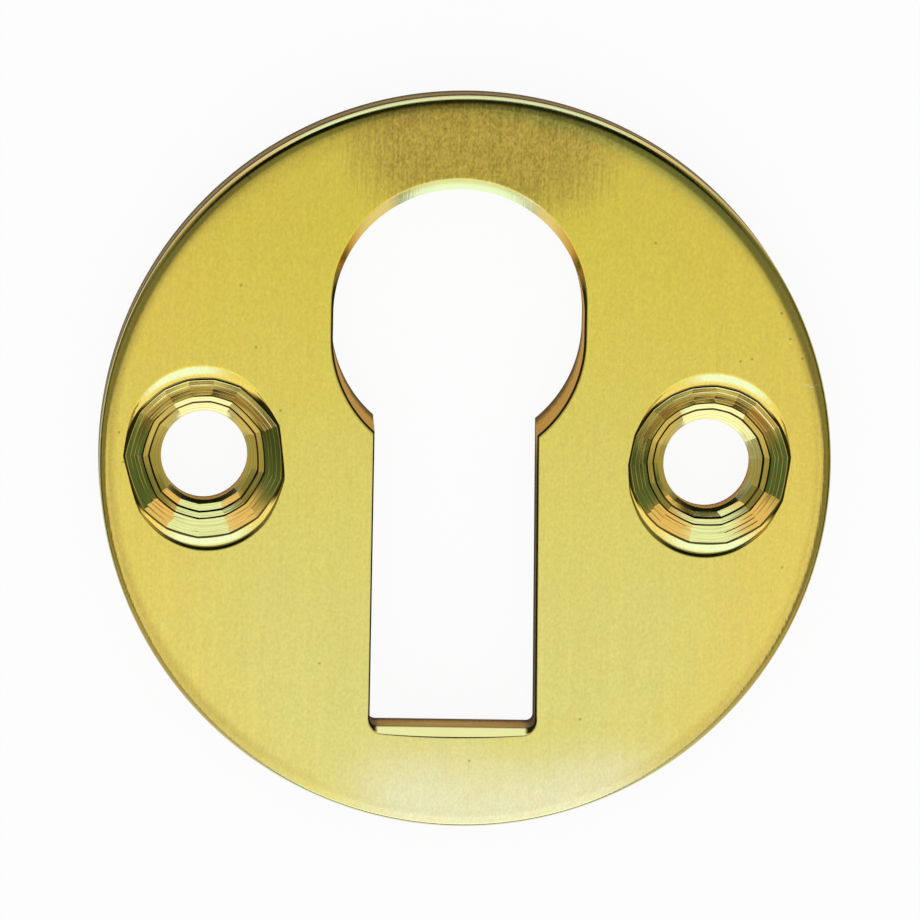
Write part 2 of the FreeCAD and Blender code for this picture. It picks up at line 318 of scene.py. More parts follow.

# %% [markdown]
# The lips above and below the screw holes catch the window, because the mop has
# rolled them over. They are amber on the inside, painted a little darker as painted
# shade, and given an almost white painted highlight where the roll is steepest. The
# rim's front edge does the same at both sides: amber, with the same painted highlight
# where it rolls over. The metal just inside it is painted a little darker than the
# face as painted shade, with a green stain at the upper right.

# %% Colour the lips and the rim
ROLLED_EDGE_HIGHLIGHT = (0.68, 0.70, 0.40, 1)
LIPS = ((-12.5, 3.6, 0), (11.6, 3.7, 0), (-11.2, -3.6, 0), (10.7, -3.6, 0))
LIP_DEPTH = (0.002, 0.008)
LIP_RADIUS = (4.2, 4.15)
INNER_LIP_RADIUS = (3.82, 3.6)
UPPER_BAND = (3.6, 3.78)
LOWER_BAND = (3.85, 3.7)
LIP_REACH = (2.5, 0.9)
LIP_AMBER = 0.7
LIP_SHADE = 0.12

GREEN_STAIN = (0.48, 0.48, 0.12, 1)
SIDE_EDGE_RADIUS = (15.1, 15.65)
SIDE_EDGE_ACROSS = (5, 12)
ROLL_DEPTH = (0.01, 0.05)
ROLL_RADIUS = (15.1, 15.2)
STAIN_MIDDLE = (0, -0.1, 0)
STAIN_RADIUS = (15.0, 15.4)
STAIN_ACROSS = (-1, 3)
STAIN_ALONG = (7, 12)
TOP_EDGE_MIDDLE = (0, -0.4, 0)
TOP_EDGE_RADIUS = (14.8, 15.8)
TOP_EDGE_ALONG = (7, 13)
LOW_EDGE_RADIUS = (15.2, 15.6)
LOW_EDGE_ALONG = (-8, -14)
SIDE_AMBER = 0.4
ROLL_PALE = 0.5
STAIN_SHARE = 0.5
TOP_SHADE = 0.22
SIDE_SHADE = 0.36
LOW_SHADE = 0.08


def colour_lips(finish, spot, colour):
    """Amber inside the lips, a little painted shade, and a pale painted highlight where steepest.
    """
    lip = finish.fade(spot.depth, LIP_DEPTH) * finish.fade(spot.hole, LIP_RADIUS)
    inner = lip * finish.fade(spot.hole, INNER_LIP_RADIUS)
    # The lips are painted a little darker, as painted shade.
    colour = finish.mix(inner * LIP_AMBER, finish.tint(colour, 1 - lip * LIP_SHADE), AMBER)
    # Painted highlight where each lip rolls over most steeply.
    for place in LIPS:
        band = finish.fade(spot.hole, UPPER_BAND if place[1] > 0 else LOWER_BAND)
        pale = lip * finish.fade(finish.away(spot.point, place), LIP_REACH) * band
        colour = finish.mix(pale, colour, ROLLED_EDGE_HIGHLIGHT)
    return colour


def colour_rim(finish, spot, colour):
    """Tint the rim and the face beside it, and say how far painted shade darkens both."""
    sides = finish.fade(spot.across, SIDE_EDGE_ACROSS)
    side_edge = finish.fade(spot.middle, SIDE_EDGE_RADIUS) * sides
    rolled = finish.fade(spot.depth, ROLL_DEPTH) * finish.fade(spot.middle, ROLL_RADIUS)
    colour = finish.mix(side_edge * (1 - rolled) * SIDE_AMBER, colour, AMBER)
    # Painted highlight on the rolled part of the rim's sides.
    colour = finish.mix(rolled * sides * ROLL_PALE, colour, ROLLED_EDGE_HIGHLIGHT)
    stained = finish.fade(finish.away(spot.point, STAIN_MIDDLE), STAIN_RADIUS)
    stained = stained * finish.fade(spot.x, STAIN_ACROSS) * finish.fade(spot.y, STAIN_ALONG)
    colour = finish.mix(stained * STAIN_SHARE, colour, GREEN_STAIN)
    # Painted shade along the rim's top, sides and bottom, just inside it.
    top_edge = finish.fade(finish.away(spot.point, TOP_EDGE_MIDDLE), TOP_EDGE_RADIUS)
    top_edge = top_edge * finish.fade(spot.y, TOP_EDGE_ALONG)
    low_edge = finish.fade(spot.middle, LOW_EDGE_RADIUS) * finish.fade(spot.y, LOW_EDGE_ALONG)
    shade = (1 - top_edge * TOP_SHADE) * (1 - side_edge * SIDE_SHADE) * (1 - low_edge * LOW_SHADE)
    return colour, shade


print("Lips at", [place[:2] for place in LIPS])

# %% [markdown]
# Edges that lie across the mop's strokes get a pale painted highlight: the keyhole's
# top, the slot's end and the rim's top and bottom. The painted highlight on the bevel
# at the keyhole's top goes from lemon to a glowing cream and then to orange at its
# ends, and the rim's steep part gets an orange one. Edges that lie along the strokes
# get a painted reflection of the dark sides of the studio, as thin dark lines: the
# keyhole's sides and the lips beside the holes. A line as thin as that also catches
# the white floor at a grazing angle, so its metal is made dull there.

# %% Burnish and darken the edges
RIM_EDGE_HIGHLIGHT = (0.80, 0.82, 0.50, 1)
PALE_EDGE = (0.65, 0.71, 0.43, 1)
LEMON_EDGE = (0.58, 0.56, 0.24, 1)
CREAM_EDGE = (0.82, 0.69, 0.37, 1)
ORANGE_EDGE = (0.72, 0.49, 0.17, 1)
GLOW_EDGE = (0.95, 0.90, 0.60, 1)
DARK_EDGE = (0.026, 0.026, 0.005, 1)

EDGE_MIDDLE_X = -0.4
INSIDE_RIM = (14.6, 14.4)
OFF_HOLES = (4.3, 4.4)
BEVEL_DEPTH = (0.003, 0.012)
BEVEL_DARK_DEPTH = (0.02, 0.06)
TOP_ALONG = (7.4, 8.8)
TOP_PALE_DEPTH = (0.06, 0.16)
TOP_GLOW_ACROSS = (2.4, 3.2)
TOP_ORANGE_ACROSS = (3.8, 5.0)
END_ALONG = (-11.6, -11.7)
END_ACROSS = (3.38, 3.18)
CLOSED_LIP_DEPTH = (0.001, 0.005)
CLOSED_LIP_RADIUS = (3.59, 3.545)
CLOSED_LIP_ALONG = (2.6, 2.0)
CLOSED_LIP_INNER = (11.6, 10.4)
CLOSED_LIP_RISE = 0.5
RIM_EDGE_DEPTH = (0.045, 0.075)
RIM_EDGE_ACROSS = (15, 7)
RIM_EDGE_SHARE = 0.8
STEEP_RIM_DEPTH = (0.15, 0.18)
STEEP_RIM_SHARE = 0.6


def dark_lines(finish, spot, opening, unhighlighted):
    """Where an edge is painted dark, a painted reflection of the studio's dark sides."""
    bevel = opening * finish.fade(spot.depth, BEVEL_DARK_DEPTH) * unhighlighted
    inner = finish.fade(finish.size_of(spot.x - PIERCING_X), CLOSED_LIP_INNER)
    beside = finish.fade(finish.size_of(spot.y - inner * CLOSED_LIP_RISE), CLOSED_LIP_ALONG)
    closed_lip = finish.fade(spot.depth, CLOSED_LIP_DEPTH)
    closed_lip = closed_lip * finish.fade(spot.hole, CLOSED_LIP_RADIUS)
    return bevel + closed_lip * beside


def colour_edges(finish, spot, colour):
    """Painted highlights and painted dark lines on the edges, and where the dark lines are."""
    across = finish.size_of(spot.x - EDGE_MIDDLE_X)
    inside = finish.fade(spot.middle, INSIDE_RIM)
    opening = finish.fade(spot.depth, BEVEL_DEPTH) * inside * finish.fade(spot.hole, OFF_HOLES)
    top = opening * finish.fade(spot.y, TOP_ALONG)
    end = opening * finish.fade(spot.y, END_ALONG) * finish.fade(across, END_ACROSS)
    dark = dark_lines(finish, spot, opening, (1 - top) * (1 - end))

    # Painted highlight on the keyhole's top and the slot's end.
    glint = finish.mix(finish.fade(spot.depth, TOP_PALE_DEPTH), LEMON_EDGE, PALE_EDGE)
    glint = finish.mix(finish.fade(across, TOP_GLOW_ACROSS), glint, GLOW_EDGE)
    glint = finish.mix(finish.fade(across, TOP_ORANGE_ACROSS), glint, ORANGE_EDGE)
    colour = finish.mix(top, colour, glint)
    colour = finish.mix(end, colour, CREAM_EDGE)

    # Painted highlight on the rim's top and bottom, and an orange one on its steep part.
    rim_edge = finish.fade(spot.depth, RIM_EDGE_DEPTH) * finish.fade(spot.across, RIM_EDGE_ACROSS)
    colour = finish.mix(rim_edge * (1 - inside) * RIM_EDGE_SHARE, colour, RIM_EDGE_HIGHLIGHT)
    steep_rim = finish.fade(spot.depth, STEEP_RIM_DEPTH) * (1 - inside)
    colour = finish.mix(steep_rim * STEEP_RIM_SHARE, colour, ORANGE_EDGE)
    # The dark lines are a painted reflection of the studio's dark sides.
    return finish.mix(dark, colour, DARK_EDGE), dark


print("The keyhole's top edge starts to pale at Y", TOP_ALONG[0], "mm")

# %% [markdown]
# Up close the face is a fine grain, a little longer than wide, with long strokes
# through it. The strip above the keyhole is duller and coarser, more amber, and also
# painted darker as painted shade. A few pits show as dark specks, and there is a small
# pale scratch at the right. All of it is laid over the colours, and the strokes also
# raise the surface a little.

# %% Make the face's finish
PITS = ((13.65, 6.72), (14.05, 5.6), (14.6, 4.75), (-9.9, 7.6), (5.2, -11.2), (-8.1, 2.15),
        (11.9, 4.6), (12.4, 4.7), (-15.1, 1.1), (-14.9, -0.2), (8.1, 9.7), (-6.2, -8.9),
        (0.4, -13.1), (13.9, -4.4), (-9.2, 4.9), (-9.69, 12.38), (-9.6, 12.3))
PIT_RADIUS = (0.03, 0.08)
PIT_SHADE = 0.42
SCRATCH = ((14.80, 3.60), (15.04, 3.52), (15.30, 3.60))
SCRATCH_STRETCH = (1, 4, 0)
SCRATCH_WIDTH = (0.18, 0.10)
SCRATCH_SHARE = 0.45
DULL_MIDDLE = (0.5, 14.4, 0)
DULL_STRETCH = (0.62, 0.84, 0)
DULL_REACH = (5.4, 3.3)
DULL_RAGGED = {"stroke": 1.2, "coarse": 0.8}
DULL_GRAIN = {"grain": 0.54, "stroke": 0.40}
# DULL_SHADE and DULL_LOSS darken the strip above the keyhole as painted shade.
DULL_SHADE = 0.35
DULL_LOSS = 0.45
PLAIN_GRAIN = {"grain": 0.25, "stroke": 0.12}
PLAIN_SHADE = 0.80
COARSE_SHADE = 0.04
AMBER_SHARES = {"side": 0.6, "mottle": 0.42, "dull": 0.5, "start": 0.16}
ROUGHNESS = {"plain": 0.18, "coarse": 0.06, "dull": 0.1, "buffed": 0.1}
BUFFED_DEPTH = (0.001, 0.006)
STROKE_RISE = 0.0045


def mark_face(finish, spot, colour, shade):
    """Shade the face by its grain and painted shade, with dark pits, and draw the scratch."""
    clear = 1
    for x, y in PITS:
        clear = clear * finish.fade(finish.away(spot.point, (x, y, 0)), PIT_RADIUS)
    colour = finish.tint(colour, shade * (1 - PIT_SHADE + clear * PIT_SHADE))
    for x, y in SCRATCH:
        stroke = finish.away(spot.point, (x, y, 0), SCRATCH_STRETCH)
        colour = finish.mix(finish.fade(stroke, SCRATCH_WIDTH) * SCRATCH_SHARE, colour, IVORY)
    return colour


def satin_brass():
    """Mopped yellow brass for the face and its rounded edges."""
    finish = new_finish("satin_brass")
    spot = Spot(finish)
    mottle = finish.noise(spot.point, (1, 0.5, 1), 1.3, detail=3.0, roughness=0.6)
    grain = finish.noise(spot.point, (1, 0.65, 1), 10.5, detail=1.0)
    patch = finish.away(spot.point, DULL_MIDDLE, DULL_STRETCH)
    ragged = patch + spot.stroke * DULL_RAGGED["stroke"] + spot.coarse * DULL_RAGGED["coarse"]
    dull = finish.fade(ragged, DULL_REACH)
    warm = spot.side * spot.cloud * AMBER_SHARES["side"] + mottle * AMBER_SHARES["mottle"]
    warm = warm - AMBER_SHARES["start"] + dull * AMBER_SHARES["dull"]

    colour = finish.mix(warm, pale_downwards(finish, spot), AMBER)
    colour = colour_lips(finish, spot, colour)
    colour, edge_shade = colour_rim(finish, spot, colour)
    grain = grain * (PLAIN_GRAIN["grain"] + dull * DULL_GRAIN["grain"])
    strokes = spot.stroke * (PLAIN_GRAIN["stroke"] + dull * DULL_GRAIN["stroke"])
    # Painted shade of the dull strip and of the rim, over the grain.
    shade = (1 - dull * DULL_SHADE) * edge_shade * (PLAIN_SHADE + spot.coarse * COARSE_SHADE)
    shade = shade + (grain + strokes) - dull * DULL_LOSS
    colour = mark_face(finish, spot, colour, shade)
    colour, dark = colour_edges(finish, spot, colour)
    buffed = finish.fade(spot.depth, BUFFED_DEPTH)
    roughness = ROUGHNESS["plain"] + spot.coarse * ROUGHNESS["coarse"]
    roughness = roughness + dull * ROUGHNESS["dull"] - buffed * ROUGHNESS["buffed"]
    return finish.brass(colour, 1 - dark, roughness, 0.0, spot.stroke, STROKE_RISE)


print("Pits:", len(PITS), "scratch strokes:", len(SCRATCH))

# %% [markdown]
# ## The cut, the sheared and the rolled brass
#
# The countersinks are bare cut metal, much smoother than the face, with fine rings
# from the tool round each hole. Their steps are painted with a line of black as
# painted shade, the upper part of each cone gets a band of painted shade, and its
# upper side towards the keyhole is painted darker too. The walls are where the press
# sheared the plate: the metal is torn, dull and browner, with marks that run through
# the thickness, and painted shade makes it darkest at the back, at the top of the
# outer wall and along the slot's sides. It scatters light and hardly mirrors it, so
# it isn't set as metallic. The back, which nobody sees once the plate is screwed on,
# is plain rolled sheet.

# %% Make the finish of the countersinks
CUT_BRASS = (0.82, 0.79, 0.42, 1)
CUT_SHADOW = (0.62, 0.45, 0.15, 1)
STEP_SHADE = (0.07, 0.055, 0.015, 1)
UPPER_CONE_SHADE = (0.37, 0.24, 0.065, 1)
BARE_PLACE = (PIERCING_X - 12.7, 3.1, 0)
BARE_REACH = (1.5, 0.8)
INWARD_ACROSS = (11.4, 9.6)
INWARD_ALONG = (-1.5, 0.5)
INWARD_RADIUS = (2.66, 2.76)
INWARD_SHADE = 0.34
BROWN_OUTER = (3.14, 3.06)
BROWN_INNER = (2.72, 2.8)
BROWN_ALONG = (0.2, 1.8)
BROWN_SHARE = 0.85
TOOL_LINES = (0.42, 0.66)
TOOL_LINE_RISE = 0.003


def cut_brass(name, light, dark):
    """Bright metal that the countersinking tool left, with painted shade on the upper cone."""
    finish = new_finish(name)
    point, x, y, z = finish.place()
    hole = nearest_hole(finish, point)
    rings = finish.node("CombineXYZ", inputs={0: hole, 2: z * 0.5})
    lines = finish.noise(rings, (16, 1, 1), 1.0, detail=2.0)
    blotch = finish.noise(point, (1, 1, 1), 1.6)
    bare = finish.fade(finish.away(point, BARE_PLACE), BARE_REACH)
    worn = finish.fade(lines, TOOL_LINES) * 0.6 + blotch * 0.3
    colour = finish.mix(worn, finish.mix(bare, light, CUT_BRASS), dark)
    # Painted shade on the cone's upper side towards the keyhole.
    inward = finish.fade(finish.size_of(x - PIERCING_X), INWARD_ACROSS)
    inward = inward * finish.fade(y, INWARD_ALONG) * finish.fade(hole, INWARD_RADIUS)
    colour = finish.tint(colour, 1 - inward * INWARD_SHADE)
    # A band of painted shade across the upper cone.
    brown = finish.fade(hole, BROWN_OUTER) * finish.fade(hole, BROWN_INNER)
    brown = brown * finish.fade(y, BROWN_ALONG)
    colour = finish.mix(brown * BROWN_SHARE, colour, UPPER_CONE_SHADE)
    return finish.brass(colour, 1.0, 0.09 + blotch * 0.1, 0.5, lines, TOOL_LINE_RISE)


# %% Make the finishes of the walls and the back
SHEARED_BRASS = (0.98, 0.57, 0.13, 1)
DEEP_SHADE = (0.06, 0.040, 0.010, 1)
RIM_BRASS = (0.50, 0.34, 0.11, 1)
ROLLED_BRASS = (0.66, 0.51, 0.17, 1)
ROLLED_SHADOW = (0.40, 0.29, 0.09, 1)
BACK_EDGE_HEIGHT = (1.9, 0.7)
FRONT_EDGE_HEIGHT = (1.8, 2.4)
OUTER_WALL_RADIUS = (15, 15.5)
SLOT_SIDE_OUTER = (4.2, 4.0)
SLOT_SIDE_INNER = (3.1, 3.5)
SLOT_SIDE_ALONG = (1.8, -0.5)
WALL_DARK = 0.8
SCORE_RISE = 0.01
STREAK_RISE = 0.004


def sheared_brass():
    """Dull metal on the walls that the press sheared, darkened by painted shade."""
    finish = new_finish("sheared_brass")
    point, x, y, z = finish.place()
    scores = finish.noise(point, (5, 5, 0.25), 1.0, detail=3.0, roughness=0.6)
    stain = finish.noise(point, (1, 1, 1), 0.8)
    # Painted shade: darkest at the back, at the top of the outer wall and along the slot's sides.
    back_edge = finish.fade(z + scores * 0.8, BACK_EDGE_HEIGHT)
    outer = finish.fade(finish.away(point, (0, 0, 0)), OUTER_WALL_RADIUS)
    front_edge = finish.fade(z + scores * 0.3, FRONT_EDGE_HEIGHT) * outer
    across = finish.size_of(x - PIERCING_X)
    slot_side = finish.fade(across, SLOT_SIDE_OUTER) * finish.fade(across, SLOT_SIDE_INNER)
    slot_side = slot_side * finish.fade(y, SLOT_SIDE_ALONG)
    dark = (back_edge + front_edge + slot_side) * WALL_DARK + stain * 0.12
    colour = finish.mix(outer, SHEARED_BRASS, RIM_BRASS)
    colour = finish.mix(dark, colour, DEEP_SHADE)
    return finish.brass(colour, 0.0, 0.5 + scores * 0.2, 0.02, scores, SCORE_RISE)


def rolled_brass():
    """Plain dull sheet on the back, as it came from the mill."""
    finish = new_finish("rolled_brass")
    point = finish.place()[0]
    streak = finish.noise(point, (4, 0.3, 1), 1.0, detail=3.0)
    stain = finish.noise(point, (1, 1, 1), 0.35, detail=3.0)
    colour = finish.mix(streak * 0.4 + stain * 0.5, ROLLED_BRASS, ROLLED_SHADOW)
    return finish.brass(colour, 1.0, 0.3 + stain * 0.2, 0.5, streak, STREAK_RISE)


SATIN, CUT, SHEARED, GROOVE, ROLLED = range(5)
# The second cut finish is painted black shade for the cone's steps and the moat's edge.
finishes = [satin_brass(), cut_brass("cut_brass", CUT_BRASS, CUT_SHADOW), sheared_brass(),
            cut_brass("step_shaded_brass", STEP_SHADE, DEEP_SHADE), rolled_brass()]
print("Finishes:", [finish.name for finish in finishes])

# %% [markdown]
# ## Sleeves
#
# The plate could be a disc with cutters taken out of it, but its edges are rounded
# further in some places than in others, which a bevel can't follow. Instead each
# opening, and the rim, is a sleeve: a circle is added, extruded ring by ring, and
# each new ring is set on its outline. The flat front and back are then filled
# between the sleeves' ends. Each vertex remembers its place round the ring, so the
# rings never twist, and each ring remembers its number, which picks the finish.


# %% Extrude a sleeve ring by ring
def start_edit(item):
    """Select one object alone and open it in edit mode."""
    bpy.ops.object.select_all(action="DESELECT")
    item.select_set(True)
    bpy.context.view_layer.objects.active = item
    bpy.ops.object.mode_set(mode="EDIT")
    return bmesh.from_edit_mesh(item.data)


def set_ring(item, outline, number):
    """Put the selected ring's vertices on their outline."""
    mesh = bmesh.from_edit_mesh(item.data)
    around, rank = (mesh.verts.layers.int[name] for name in ("around", "rank"))
    for vertex in mesh.verts:
        if vertex.select:
            vertex.co = Vector(outline[vertex[around]]) * MM
            vertex[rank] = number
    bmesh.update_edit_mesh(item.data)


def make_sleeve(name, outlines, finish_of_band):
    """A tube through its outlines, with a finish for each band between two of them."""
    count = len(outlines[0])
    bpy.ops.object.select_all(action="DESELECT")
    bpy.ops.mesh.primitive_circle_add(vertices=count, radius=MM, fill_type="NOTHING")
    item = bpy.context.object
    item.name = name
    mesh = start_edit(item)
    around, rank = (mesh.verts.layers.int.new(name) for name in ("around", "rank"))
    for place, vertex in enumerate(mesh.verts):
        vertex[around] = place
    bpy.ops.mesh.select_all(action="SELECT")
    set_ring(item, outlines[0], 0)
    for number, outline in enumerate(outlines[1:], start=1):
        bpy.ops.mesh.extrude_edges_move()
        set_ring(item, outline, number)
    for finish in finishes:
        item.data.materials.append(finish)
    mesh = bmesh.from_edit_mesh(item.data)
    rank = mesh.verts.layers.int["rank"]
    for face in mesh.faces:
        face.material_index = finish_of_band(min(vertex[rank] for vertex in face.verts))
    bmesh.update_edit_mesh(item.data)
    bpy.ops.object.mode_set(mode="OBJECT")
    print(name, len(item.data.vertices), "vertices")
    return item


def ring(radius_x, radius_y, middle_x, middle_y, height, count):
    """A level circle or oval of evenly spaced points, in millimetres."""
    turns = [2 * math.pi * place / count for place in range(count)]
    return [(middle_x + radius_x * math.cos(turn), middle_y + radius_y * math.sin(turn), height)
            for turn in turns]


# %% [markdown]
# ## The rim
#
# The outer wall stands square to the back, with a trace of an edge broken by a file.
# The mop has rolled its front edge off over most of a millimetre, but only a quarter
# of a millimetre deep, and further at the top and right than at the bottom and left.
# So the rings shrink along a curve that is steep at the wall and then nearly level,
# a superellipse, and their centre drifts. The photograph shows the disc a hair
# taller than wide, so every ring is that much narrower across.

# %% Make the rim
FLAT_MARGIN = 0.05
RIM_POINTS = 360
RIM = {"radius": 16.0, "run": 0.68, "depth": 0.22, "lean_x": 0.1, "lean_y": 0.1, "bands": 16,
       "power": 3, "narrower": 0.05}
BACK_BREAK = 0.06
WALL_BANDS = 2
EDGE_ANGLE = math.radians(25)


def rim_ring(radius, lean, height):
    """One ring of the rim, whose centre has drifted by a share of the lean."""
    return ring(radius - RIM["narrower"], radius, -RIM["lean_x"] * lean, -RIM["lean_y"] * lean,
                height, RIM_POINTS)


def rim_outlines():
    """Outlines of the rim from the back, up the wall and over the rounding."""
    radius = RIM["radius"]
    rows = [rim_ring(radius - BACK_BREAK, 0, 0), rim_ring(radius, 0, BACK_BREAK)]
    for band in range(RIM["bands"] + 1):
        turn = math.pi / 2 * band / RIM["bands"]
        inset = 1 - max(math.cos(turn), 0) ** (2 / RIM["power"])
        drop = 1 - math.sin(turn)
        rows.append(rim_ring(radius - RIM["run"] * inset, inset, THICKNESS - RIM["depth"] * drop))
    rows.append(rim_ring(radius - RIM["run"] - FLAT_MARGIN, 1, THICKNESS))
    return rows


def wall_then_satin(band):
    """Sheared metal on the broken back edge and the wall, and satin from there on."""
    return SHEARED if band < WALL_BANDS else SATIN


rim = make_sleeve("rim", rim_outlines(), wall_then_satin)
bpy.ops.object.shade_smooth_by_angle(angle=EDGE_ANGLE)

# %% [markdown]
# ## The keyhole
#
# One outline is the round end and the slot together. The round end is a little
# taller than wide: an upper half circle, two short cheeks and a lower arc on each
# side that runs into the slot. The wall under the lower arcs leans outwards towards
# the front. The front edge is a plain bevel that levels out just as it meets the
# face. It runs a long way at the top of the round end and at the slot's end, where
# the mop crossed the edge, and hardly at all at the neck.

# %% Make the keyhole
KEYHOLE = {
    "radius": 5.47, "rise": 6.44, "low_back": 5.88, "low_front": 5.39, "shift": -0.03,
    "half_slot": 3.61, "neck_taper": 0.13, "drop": 11.62, "corner": 0.3, "front_corner": 0.68,
    "depth": 0.25, "side_run": 0.13, "top_run": 0.53, "low_run": 0.1, "slot_run": 0.09,
    "end_run": 0.37, "end_bow": 0.13, "level_share": 0.14,
}
BEVEL_SHARES = (0, 0.05, 0.4, 0.78, 0.86, 0.89, 0.92, 0.95, 0.98, 1)
ROUND_POINTS, CHEEK_POINTS, LOW_POINTS = 200, 6, 60
SIDE_POINTS, CORNER_POINTS, END_POINTS = 60, 16, 40


def spread(start, end, count):
    """Evenly spaced numbers that leave out the end."""
    return [start + (end - start) * step / count for step in range(count)]


def arc(middle_x, middle_y, radius, start, end, count):
    """Points along an arc that leave out its end."""
    return [(middle_x + radius * math.cos(turn), middle_y + radius * math.sin(turn))
            for turn in spread(start, end, count)]


def line(start, end, count):
    """Points along a straight line that leave out its end."""
    return list(zip(spread(start[0], end[0], count), spread(start[1], end[1], count)))


def keyhole_outline(height, rise_share, share=0.0, margin=0.0):
    """The keyhole at a share of its wall's rise, opened by a share of its bevel."""
    size, middle = KEYHOLE, PIERCING_X
    radius = size["radius"] + size["side_run"] * share + margin
    round_y = size["rise"] + (size["top_run"] - size["side_run"]) * share
    low_y = size["low_back"] + (size["low_front"] - size["low_back"]) * rise_share
    low_y += (size["side_run"] - size["low_run"]) * share
    half = size["half_slot"] + size["slot_run"] * share + margin
    bottom = -size["drop"] - size["end_run"] * share - margin
    corner = size["corner"] + (size["front_corner"] - size["corner"]) * share + margin
    left, right, right_neck = middle - half, middle + half, middle + half - size["neck_taper"]
    middle += size["shift"]
    left_turn = math.acos((middle - left) / radius)
    right_turn = math.acos((right_neck - middle) / radius)
    left_neck = (left, low_y - radius * math.sin(left_turn))
    right_start = (right, bottom + corner)

    points = arc(middle, round_y, radius, 0, math.pi, ROUND_POINTS)
    points += line((middle - radius, round_y), (middle - radius, low_y), CHEEK_POINTS)
    points += arc(middle, low_y, radius, math.pi, math.pi + left_turn, LOW_POINTS)
    points += line(left_neck, (left, bottom + corner), SIDE_POINTS)
    points += arc(left + corner, bottom + corner, corner, math.pi, 1.5 * math.pi, CORNER_POINTS)
    for x, y in line((left + corner, bottom), (right - corner, bottom), END_POINTS):
        across = (x - middle) / (half - corner)
        points.append((x, y - size["end_bow"] * share * (1 - across ** 2)))
    points += arc(right - corner, bottom + corner, corner, 1.5 * math.pi, 2 * math.pi,
                  CORNER_POINTS)
    points += line(right_start, (right_neck, low_y - radius * math.sin(right_turn)), SIDE_POINTS)
    points += arc(middle, low_y, radius, -right_turn, 0, LOW_POINTS)
    points += line((middle + radius, low_y), (middle + radius, round_y), CHEEK_POINTS)
    return [(x, y, height) for x, y in points]


def bevel_drop(share):
    """How deep the bevel lies: a straight slope that levels out over its last share."""
    level = KEYHOLE["level_share"]
    slope = 1 / (1 - level / 2)
    if share < 1 - level:
        return KEYHOLE["depth"] * (1 - slope * share)
    return KEYHOLE["depth"] * slope * (1 - share) ** 2 / (2 * level)


def keyhole_outlines():
    """Outlines of the keyhole from the back, up the wall and over the bevel."""
    rows = [keyhole_outline(0, 0, margin=BACK_BREAK), keyhole_outline(BACK_BREAK, 0)]
    for share in BEVEL_SHARES:
        rows.append(keyhole_outline(THICKNESS - bevel_drop(share), 1, share))
    rows.append(keyhole_outline(THICKNESS, 1, 1, FLAT_MARGIN))
    return rows


keyhole = make_sleeve("keyhole", keyhole_outlines(), wall_then_satin)
bpy.ops.object.shade_smooth_by_angle(angle=EDGE_ANGLE)

# %% [markdown]
# ## The countersinks
#
# The countersinking tool chattered, so each cone is a pyramid of flat sides, none of
# them alike, with narrow ledges across it. Below it are two more bands, the shoulder
# and the throat, each behind a small step. Outside it lies a shallow moat that is
# wide above and below the hole and closes at its sides. The moat falls gently above
# the hole and sharply below it, and a dark line parts it from the cone. The drilled
# hole is a little narrower across than up and a little off the cone's centre. The
# edges between flat sides are marked sharp one by one, because the moat has to stay
# smooth at angles where the sides must not.

# %% Make the countersinks
SIDE_STEPS = 8
FULL_TURN = 360
LEFT_CORNERS = (25, 64, 84, 103, 121, 145, 179, 221, 243, 266, 290, 313, 346)
RIGHT_CORNERS = (7, 30, 54, 69, 86, 104, 120, 136, 158, 180, 200, 219, 230, 256, 284, 312, 335)
CORNER_ROUNDNESS = 0.4
LOBE_POWER = 1.5
LEFT_TURN, RIGHT_TURN = math.radians(9), math.radians(-11)

MOAT_ROWS = [
    # along X, along Y, depth above the hole, depth below it, roundness
    (3.540, 4.12, 0.0, 0.0, 1.0),
    (3.536, 4.09, 0.0, 0.0, 1.0),
    (3.532, 4.05, 0.003, 0.0, 1.0),
    (3.528, 4.01, 0.007, 0.005, 1.0),
    (3.525, 3.97, 0.012, 0.021, 1.0),
    (3.520, 3.93, 0.017, 0.037, 1.0),
    (3.517, 3.88, 0.023, 0.050, 1.0),
    (3.514, 3.80, 0.033, 0.048, 1.0),
    (3.511, 3.72, 0.041, 0.041, 0.9),
    (3.508, 3.64, 0.046, 0.035, 0.7),
    (3.504, 3.56, 0.048, 0.028, 0.5),
    (3.500, 3.51, 0.045, 0.025, 0.3),
    (3.450, 3.45, 0.026, 0.022, 0.0),
]
CONE_BANDS = [
    # radius at the inner end, tilt above and at the sides, tilt below, finish
    (3.42, 17, 17, CUT), (3.24, 42, 41, CUT), (3.215, 17, 35, CUT), (3.06, 41.5, 40, CUT),
    (3.035, 17, 33, CUT), (2.91, 40.5, 40, CUT), (2.885, 17, 34, CUT), (2.74, 40, 39, CUT),
    (2.67, 42, 17, GROOVE), (2.46, 26, 28, CUT), (2.375, 42, 17, GROOVE),
    (2.16, 20, 45, CUT), (1.96, 20, 15, CUT),
]
ROUND_BELOW = 2.1
SHIFT_BELOW = 2.4
THROAT_SQUEEZE = 0.965
DRILL_SHIFTS = dict(zip(SCREW_PLACES, ((0.0, 0.06), (-0.08, 0.0))))
WALL_ROWS = [(1.95, 0.02), (1.95, 0.6), (2.0, 1.7)]
CHATTER = 0.012
CHATTER_SEED = 7
chatter = random.Random(CHATTER_SEED)


def cone_rows():
    """Radius of the cone's rings and their depths above and below, from the bands' tilts."""
    radius, above, below = MOAT_ROWS[-1][1:4]
    rows = []
    for inner, tilt_above, tilt_below, _ in CONE_BANDS:
        above += (radius - inner) * math.tan(math.radians(tilt_above))
        below += (radius - inner) * math.tan(math.radians(tilt_below))
        radius = inner
        rows.append((radius, above, below))
    return rows


